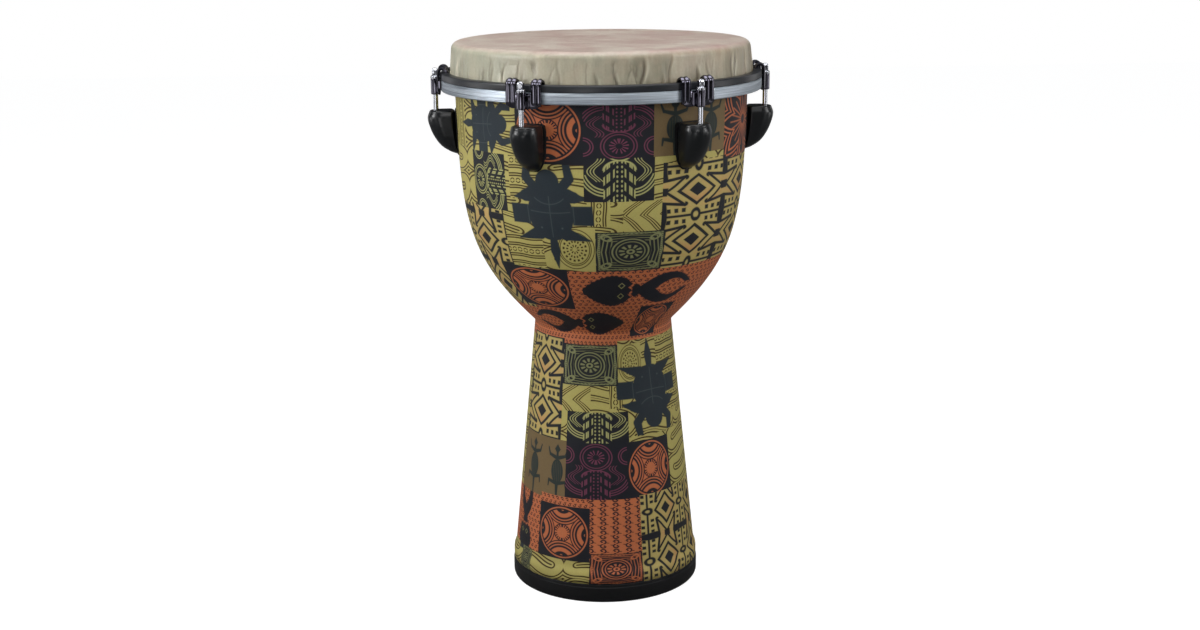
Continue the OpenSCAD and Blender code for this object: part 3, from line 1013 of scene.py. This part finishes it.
def head_material():
    """Coated film: pinkish tan on top, greenish on the collar, with painted light on the collar's left side,
    painted highlights on the broad folds and the ridges, and painted shade in the tucks and creases.
    """
    start_material("head_skin")
    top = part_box("drumhead_film")[1].z
    across, _, height = parts_of(add_node("TexCoord", {}).outputs["Object"])
    streaks, specks = cloud(1, 6, 0.68, (26, 120, 60)), cloud(420, 2)
    blotches, patches = cloud(16, 5, 0.6), cloud(34, 4, 0.6)
    folds = cloud(1, 4, 0.6, (80, 80, 11))
    crown = layered(rgb(190, 172, 162), (streaks, -1.4, 2.2, (166, 144, 132)),
                    (blotches, -1.6, 2.4, (200, 190, 176)), (patches, -1.9, 2.2, (176, 148, 140)))
    side = layered(rgb(154, 143, 123), (blotches, -1.2, 2.2, (136, 133, 112)),
                   (patches, -1.6, 2.2, (168, 150, 128)))
    # Painted light from the left: the collar's left side is made lighter, with a greener tint.
    side = paint(side, across.held(-4, 0.25) * 0.75, rgb(166, 170, 150))
    # Painted highlight: lighter where the broad folds stand out, from the noise that also bumps them.
    side = layered(side, (folds, -1.2, 1.5, (184, 176, 153)))
    on_top = (height - (top - 4.5 * MM)).held(1 / (4 * MM))
    colour = layered(paint(side, on_top, crown), (specks, -0.2, 0.3, (130, 116, 100)))
    # Painted shade in the tucks, where the film is drawn in, and painted highlight on the ridges beside
    # them.
    depth = Field(add_node("Attribute", {}, attribute_name="fold").outputs["Fac"])
    colour = paint(colour, depth.held(0.8), rgb(84, 72, 54))
    colour = paint(colour, depth.held(-0.9), rgb(206, 198, 176))
    line, valley = crease_shade_lines(((top - 9 * MM) - height).held(1 / (5 * MM)))
    # Painted shade along the crease lines.
    colour = paint(colour, line * 0.65, rgb(78, 66, 48))
    relief = bumped(folds, 0.0014, bumped(streaks * 0.5 + specks * 0.3, 0.0004))
    return finish_material(colour, between(blotches, 0.34, 0.50), bumped(valley, 0.0013, relief),
                           Specular_IOR_Level=0.5, Coat_Weight=0.15, Coat_Roughness=0.3)


def crease_shade_lines(below_shoulder):
    """Sharp wandering creases down the collar: their lines, as a mask for painted shade, and the valley each
    lies in.
    """
    bend = add_node("TexNoise", {"Scale": 55, "Vector": texture_place()}).outputs["Color"]
    sway, stretch = (0.38, 0.38, 0.38), (62, 62, 4)
    moved = add_node("VectorMath", {0: bend, 1: sway, 2: texture_place(stretch)}, operation="MULTIPLY_ADD")
    cells = add_node("TexVoronoi", {"Scale": 1, "Vector": moved.outputs[0]}, feature="DISTANCE_TO_EDGE")
    edge = Field(cells.outputs["Distance"])
    shown = between(cloud(24, 2), -2.4, 2.5).held(1) * below_shoulder
    return inked(edge - 0.03, 0.04) * shown, ((edge * 6).node("MINIMUM", 1) - 1) * shown


# ---- Hoops and foot ----


def build_hoops(aluminium, black):
    """Brushed channel round the film's edge, and the black hoop on top of it."""
    low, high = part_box("flesh_hoop")
    inner, outer = radii("flesh_hoop")
    wall, small, soft = 1.4 * MM, 0.3 * MM, 0.6 * MM
    ring_piece("hoop_channel", [
        (inner, low.z, soft), (outer, low.z, 1.0 * MM), (outer, high.z, soft),
        (outer - wall, high.z, small), (outer - wall, low.z + wall, small),
        (inner + wall, low.z + wall, small), (inner + wall, high.z, small), (inner, high.z, small),
    ], 4, "flesh_hoop", HEAD_BODY, aluminium)
    low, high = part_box("counterhoop")
    inner, outer = radii("counterhoop")
    ring_piece("hoop_cap", [
        (inner, low.z, small), (outer, low.z, 0.7 * MM), (outer, high.z, 1.6 * MM),
        (inner, high.z, 0.8 * MM),
    ], 6, "counterhoop", HEAD_BODY, black)


def build_foot(rubber):
    """Rubber channel pressed over the stem's rebated edge, with a moulded step round its top."""
    low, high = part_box("foot_ring")
    inner, outer = radii("foot_ring")
    gap = 0.1 * MM
    stem_in, stem_out = radii("stem_shell", high.z - MM)
    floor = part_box("stem_shell")[0].z - gap
    lip, step_z = 14 * MM, high.z - 4.2 * MM
    step = small = 0.5 * MM
    ring_piece("foot_rubber", [
        (inner, low.z, 1.2 * MM), (outer, low.z, 5 * MM), (outer, step_z, 0.4 * MM),
        (outer - step, step_z + step, 0.2 * MM), (outer - step, high.z, 1.2 * MM),
        (stem_out + gap, high.z, small), (stem_out + gap, floor, small),
        (stem_in - gap, floor, small), (stem_in - gap, lip, small), (inner, lip, 1.0 * MM),
    ], 6, "foot_ring", SHELL_BODY, rubber)


# ---- Claws, rods and lugs ----

CLAW_LEG = 11 * MM
CLAW_PLATE = 3 * MM
HOOK_R = 6.2 * MM
HOOK_CORE = 3 * MM
RIB_DEPTH = 1.2 * MM
RIBS = 2
ROD_R = 2.75 * MM
THREAD_PITCH = 1.06 * MM
THREAD_DEPTH = 0.32 * MM


def leg_relief(across):
    """How far a leg's face lies under its rib tops, at -1 to 1 across it."""
    edge = max(0.0, abs(across) - 0.86) / 0.14
    groove = 0.5 - 0.5 * math.cos(math.pi * RIBS * (across + 1))
    return RIB_DEPTH * max(1 - groove ** 0.6, 1 - math.sqrt(max(0.0, 1 - edge * edge)))


def leg_rows(middle_y, plate_in, roll_z, low_z):
    """Sections of a ribbed leg that rises from its toe and rolls over the hoop."""
    samples = [-1 + 2 * k / 36 for k in range(37)]
    toe, thin = 4 * MM, 0.2 * MM

    def section(place, full=1.0):
        depths = [(CLAW_PLATE - leg_relief(a)) * full + thin * (1 - full) for a in samples]
        front = [place(middle_y + a * CLAW_LEG / 2, depth) for a, depth in zip(samples, depths)]
        return front + [place(middle_y + a * CLAW_LEG / 2 * 0.985, None) for a in samples[::-1]]

    def rise(z):
        return lambda y, depth: (plate_in + (depth or 0), y, z)

    def roll(degrees):
        def place(y, depth):
            x, z = on_circle(degrees, HOOK_CORE if depth is None else HOOK_R - CLAW_PLATE + depth)
            return (plate_in + CLAW_PLATE - HOOK_R + x, y, roll_z + z)
        return place

    rows = []
    for k in range(7):
        short, full = on_circle(15 * k)
        rows.append(section(rise(low_z + toe * (1 - short)), full))
    rows += [section(rise(low_z + toe + (roll_z - low_z - toe) * k / 6)) for k in range(1, 6)]
    return rows + [section(roll(10 * k)) for k in range(19)]


def add_plate(shape, x0, thickness, half_wide, low, high, corner, soften):
    """Upright plate with round lower corners and softened front edges."""
    steps = 6
    right = [on_circle(-90 + 90 * k / steps, corner) for k in range(steps + 1)]
    outline = [(half_wide - corner + y, low + corner + z) for y, z in right]
    outline += [(half_wide, high), (-half_wide, high)]
    outline += [(-y, z) for y, z in outline[steps::-1]]
    middle = sum((Vector(p) for p in outline), Vector((0, 0))) / len(outline)
    rows = [[(x0, y, z) for y, z in outline]]
    for k in range(4):
        inset, out = on_circle(30 * k, soften)
        shrunk = [Vector(p) - (Vector(p) - middle).normalized() * (soften - inset) for p in outline]
        rows.append([(x0 + thickness - soften + out, y, z) for y, z in shrunk])
    shape.capped(rows)


def build_claw(station, material):
    """Claw hook: two ribbed legs, a web with a raised step, and the boss that the rod runs in."""
    low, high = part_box("claw_1")
    plate_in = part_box("counterhoop")[1].x + 0.4 * MM
    boss_high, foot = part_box("rod_washer_1")[0].z, low.z + 0.5 * MM
    web = CLAW_PLATE - RIB_DEPTH
    shape = Shape()
    for side in (-1, 1):
        leg_y = side * (high.y - CLAW_LEG / 2)
        shape.capped(leg_rows(leg_y, plate_in, high.z - HOOK_R, low.z + 3.2 * MM))
    add_plate(shape, plate_in, web, high.y, foot, boss_high - 1.5 * MM, 8 * MM, 0.6 * MM)
    add_plate(shape, plate_in + 0.1 * MM, web + 1.4 * MM, 8 * MM, foot, boss_high - 3 * MM, 3 * MM, 0.8 * MM)
    boss_r, bore = high.x - ROD_AXIS, 3.1 * MM
    boss = filleted([(bore, low.z, 0.3 * MM), (boss_r, low.z, 1.0 * MM),
                     (boss_r, boss_high, 0.5 * MM), (bore, boss_high, 0.3 * MM)])
    shape.grid(turned(boss, 40, ROD_AXIS), closed=True)
    new_piece(f"claw_hook_{station}", shape, HEAD_BODY, [material], f"claw_{station}", station)


def thread_outline(low, high):
    """Outline of a screw thread as one helical surface, tapering in at both ends."""
    count = int((high - low) / THREAD_PITCH * 4)

    def radius(z, degrees):
        ends = min(1, (z - low) / THREAD_PITCH, (high - z) / THREAD_PITCH)
        phase = 2 * math.pi * (z / THREAD_PITCH - degrees / 360)
        return ROD_R - THREAD_DEPTH * (0.5 + 0.5 * math.cos(phase)) * ends

    heights = [low + (high - low) * i / count for i in range(count + 1)]
    return [(partial(radius, z), z) for z in heights]


def key_head_outline(low, high):
    """Outline of a square head with round corners, a waist at its foot and a domed top."""
    half = 3.17 * MM
    squareness = 6
    levels = [(0, 0.86), (0.06, 0.94), (0.14, 1), (0.62, 1), (0.72, 0.985), (0.82, 0.93),
              (0.91, 0.80), (0.97, 0.58), (1, 0.3)]

    def radius(scale, degrees):
        sides = sum(abs(side) ** squareness for side in on_circle(degrees))
        return half * scale * sides ** (-1 / squareness)

    return [(partial(radius, scale), low + (high - low) * share) for share, scale in levels]


def build_rod(station, material):
    """Tension rod: thread, plain shank, round flange and a square, domed key head."""
    low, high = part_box("tension_rod_1")
    flange_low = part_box("rod_washer_1")[1].z + 0.05 * MM
    flange_r, flange_high = 4.8 * MM, flange_low + 1.6 * MM
    thread_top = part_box("lug_1")[1].z - 9 * MM
    shape = Shape()
    point = 0.8 * MM
    shank = [(ROD_R - point, low.z), *thread_outline(low.z + point, thread_top),
             (ROD_R, thread_top + 0.5 * MM), (ROD_R, flange_low)]
    shape.capped(turned(shank, 24, ROD_AXIS))
    flange = filleted([(0.5 * MM, flange_low, 0), (flange_r, flange_low, 0.35 * MM),
                       (flange_r, flange_high, 0.7 * MM), (0.5 * MM, flange_high, 0)])
    shape.grid(turned(flange, 40, ROD_AXIS), closed=True)
    shape.capped(turned(key_head_outline(flange_high, high.z), 48, ROD_AXIS))
    new_piece(f"rod_{station}_bright", shape, f"rod_{station}", [material],
              f"tension_rod_{station}", station)


def envelope(points, apart):
    """Upper convex outline of (height, value) points, thinned to points some way apart."""
    hull = []
    for z, value in sorted(points):
        while len(hull) > 1:
            (z0, v0), (z1, v1) = hull[-2:]
            if (z1 - z0) * (value - v0) < (v1 - v0) * (z - z0):
                break
            hull.pop()
        hull.append((z, value))
    kept = [hull[0]]
    for point in hull[1:]:
        if point[0] - kept[-1][0] > apart:
            kept.append(point)
    return kept


def lug_section(z, back, reach, half):
    """Outline of the lug at a height: a round nose whose sides run back to the shell."""
    row = []
    steps = 56
    nose = reach - half
    for k in range(steps):
        c, s = on_circle(-180 + 360 * (k + 0.5) / steps)
        x, y = nose + half * c, half * s
        if c < 0:
            x = nose + (nose - back) * c
            y = half * (1 if s > 0 else -1) * min(1, abs(s) * 1.6)
        row.append((max(x, math.sqrt(max(back * back - y * y, 0))), y, z))
    return row


def round_well(row, z, inward=0, radius=None):
    """A row set to a height, and drawn in towards the rod's axis or put on a circle round it."""
    found = []
    for x, y, _ in row:
        reach = math.hypot(x - ROD_AXIS, y)
        share = (radius or reach - inward) / reach
        found.append((ROD_AXIS + (x - ROD_AXIS) * share, y * share, z))
    return found


def build_lug(station, material):
    """Tear-drop lug: a smooth shell with a dished top round the rod's well."""
    low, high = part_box("lug_1")
    places = [v.co for v in frame["nodes"]["lug_1"].data.vertices]
    reaches = envelope([(p.z, p.x) for p in places], MM)
    halves = envelope([(p.z, abs(p.y)) for p in places], MM)
    gasket, edge, well_r, count = 1.2 * MM, 2.4 * MM, 3.3 * MM, 44
    rows = []
    for i in range(count + 1):
        z = low.z + (high.z - edge - low.z) * (1 - (1 - i / count) ** 1.4)
        back = smooth_at(SLEEVE, z) + gasket
        rows.append(lug_section(z, back, smooth_at(reaches, z), smooth_at(halves, z)))
    shoulder = rows[-1]
    for k in range(1, 7):
        out, up = on_circle(15 * k, edge)
        rows.append(round_well(shoulder, high.z - edge + up, inward=edge - out))
    rim = rows[-1]
    circle = round_well(rim, high.z, radius=well_r + 0.5 * MM)
    for share in (0.25, 0.5, 0.75):
        dish = Vector((0, 0, 0.35 * MM * math.sin(math.pi * share)))
        rows.append([Vector(a).lerp(Vector(b), share) - dish for a, b in zip(rim, circle)])
    rows.append(circle)
    rows += [round_well(rim, high.z - depth, radius=well_r) for depth in (0.5 * MM, 20 * MM)]
    shape = Shape()
    shape.capped(rows)
    new_piece(f"lug_shell_{station}", shape, SHELL_BODY, [material], f"lug_{station}",
              station, smooth_deg=50)


# ---- Materials of the hard parts ----


def brushed_material():
    """Aluminium brushed round the ring."""
    start_material("brushed_aluminium")
    streaks, scratches = cloud(1, 5, 0.75, (7, 7, 800)), cloud(1, 3, 0.6, (22, 22, 1900))
    colour = layered(rgb(222, 230, 238), (streaks, -1.0, 1.9, (110, 122, 136)),
                     (scratches, -0.9, 1.3, (150, 158, 166)))
    return finish_material(colour, between(cloud(16, 3), 0.34, 0.46), bumped(streaks, 0.0006), Metallic=1.0)


def satin_black(name, colour, low, high, grain, depth, coat):
    """Black coat on metal or rubber with a fine grain and uneven gloss."""
    start_material(name)
    patches = cloud(26, 4, 0.6)
    shade = layered(rgb(*colour), (patches, 0, 0.24, (32, 32, 35)),
                    (cloud(160, 4, 0.7), -0.12, 0.03, (84, 84, 86)))
    return finish_material(shade, between(patches, low, high), bumped(cloud(grain, 3, 0.6), depth),
                           Coat_Weight=coat, Coat_Roughness=0.22, Specular_IOR_Level=0.3)


def plated(name, colour, tint, low, high):
    """Polished plate with faint smears."""
    start_material(name)
    smears, haze = cloud(60, 4, 0.6), cloud(240, 3)
    shade = layered(rgb(*colour), (smears, 0, 0.6, tint))
    return finish_material(shade, between(smears, low, high), bumped(haze, 0.000006), Metallic=1.0)


def turned_metal(name, colour, tint, rough):
    """Small turned metal parts with tool marks."""
    start_material(name)
    marks, dull = cloud(1, 3, 0.6, (60, 60, 1500)), cloud(90, 4)
    shade = layered(rgb(*colour), (dull, 0, 0.8, tint))
    return finish_material(shade, between(dull, rough, rough + 0.18), bumped(marks, 0.00008), Metallic=1.0)


def fibre_material():
    """Raw resin-bonded fibre wall inside the drum: coarse strands in a tan binder."""
    start_material("fibre_shell")
    strands, mottled = cloud(1, 6, 0.7, (50, 50, 160)), cloud(34, 5, 0.65)
    colour = layered(rgb(134, 104, 72), (strands, -0.6, 1.4, (84, 62, 42)),
                     (mottled, -0.5, 1.1, (164, 134, 98)))
    return finish_material(colour, between(mottled, 0.62, 0.85), bumped(strands + mottled, 0.0012))


def plywood_material():
    """Bent plywood of the glued ring in the waist, with its plies showing as bands."""
    start_material("bent_plywood")
    grain, plies = cloud(1, 5, 0.6, (14, 14, 220)), cloud(1, 1, 0.5, (3, 3, 380))
    colour = layered(rgb(190, 152, 106), (grain, -0.4, 1.3, (142, 104, 66)),
                     (plies, -0.3, 0.9, (116, 84, 54)))
    return finish_material(colour, between(grain, 0.55, 0.75), bumped(grain, 0.0006))


def cast_resin():
    """Grey cast resin with a pitted surface."""
    start_material("cast_resin")
    flow = cloud(40, 3)
    colour = layered(rgb(96, 95, 92), (flow, 0, 0.8, (66, 66, 64)))
    return finish_material(colour, between(flow, 0.4, 0.6), bumped(cloud(300, 4, 0.7), 0.0004))


def paint_cad(material, *names):
    """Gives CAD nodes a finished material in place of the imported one."""
    for name in names:
        for place in frame["nodes"][name].material_slots:
            place.material = material


def numbered(stem):
    """Names of the six nodes of one kind."""
    return [f"{stem}_{k}" for k in range(1, STATIONS + 1)]


# ---- The drum ----

bpy.context.scene.view_settings.view_transform = "Standard"
add_camera()
add_world()
add_softboxes()
add_floor()

build_sleeve({name: cloth_material(name, motif) for name, motif in MOTIFS.items()})
build_head(head_material())
build_hoops(brushed_material(), satin_black("hoop_coat", (34, 36, 40), 0.34, 0.46, 900, 0.00004, 0.2))
build_foot(satin_black("foot_rubber", (7, 7, 9), 0.44, 0.56, 700, 0.00006, 0.0))
lug_coat = satin_black("lug_coat", (8, 11, 14), 0.32, 0.36, 800, 0.00002, 0.25)
claw_plate = plated("black_nickel", (104, 102, 112), (66, 64, 76), 0.08, 0.14)
rod_plate = plated("bright_chrome", (208, 210, 216), (160, 162, 170), 0.12, 0.20)
for number in range(1, STATIONS + 1):
    build_claw(number, claw_plate)
    build_rod(number, rod_plate)
    build_lug(number, lug_coat)
paint_cad(fibre_material(), "bowl_shell", "stem_shell")
paint_cad(plywood_material(), "waist_ring")
paint_cad(cast_resin(), "film_bond")
paint_cad(turned_metal("washer_nickel", (200, 202, 206), (150, 152, 158), 0.16), *numbered("rod_washer"))
paint_cad(turned_metal("insert_brass", (205, 168, 92), (150, 116, 60), 0.22), *numbered("lug_insert"))
paint_cad(turned_metal("zinc_screw", (176, 178, 182), (128, 130, 134), 0.3), "lug_screws", "screw_washers")
paint_cad(satin_black("gasket_rubber", (18, 18, 19), 0.6, 0.75, 600, 0.0001, 0.0), *numbered("lug_gasket"))
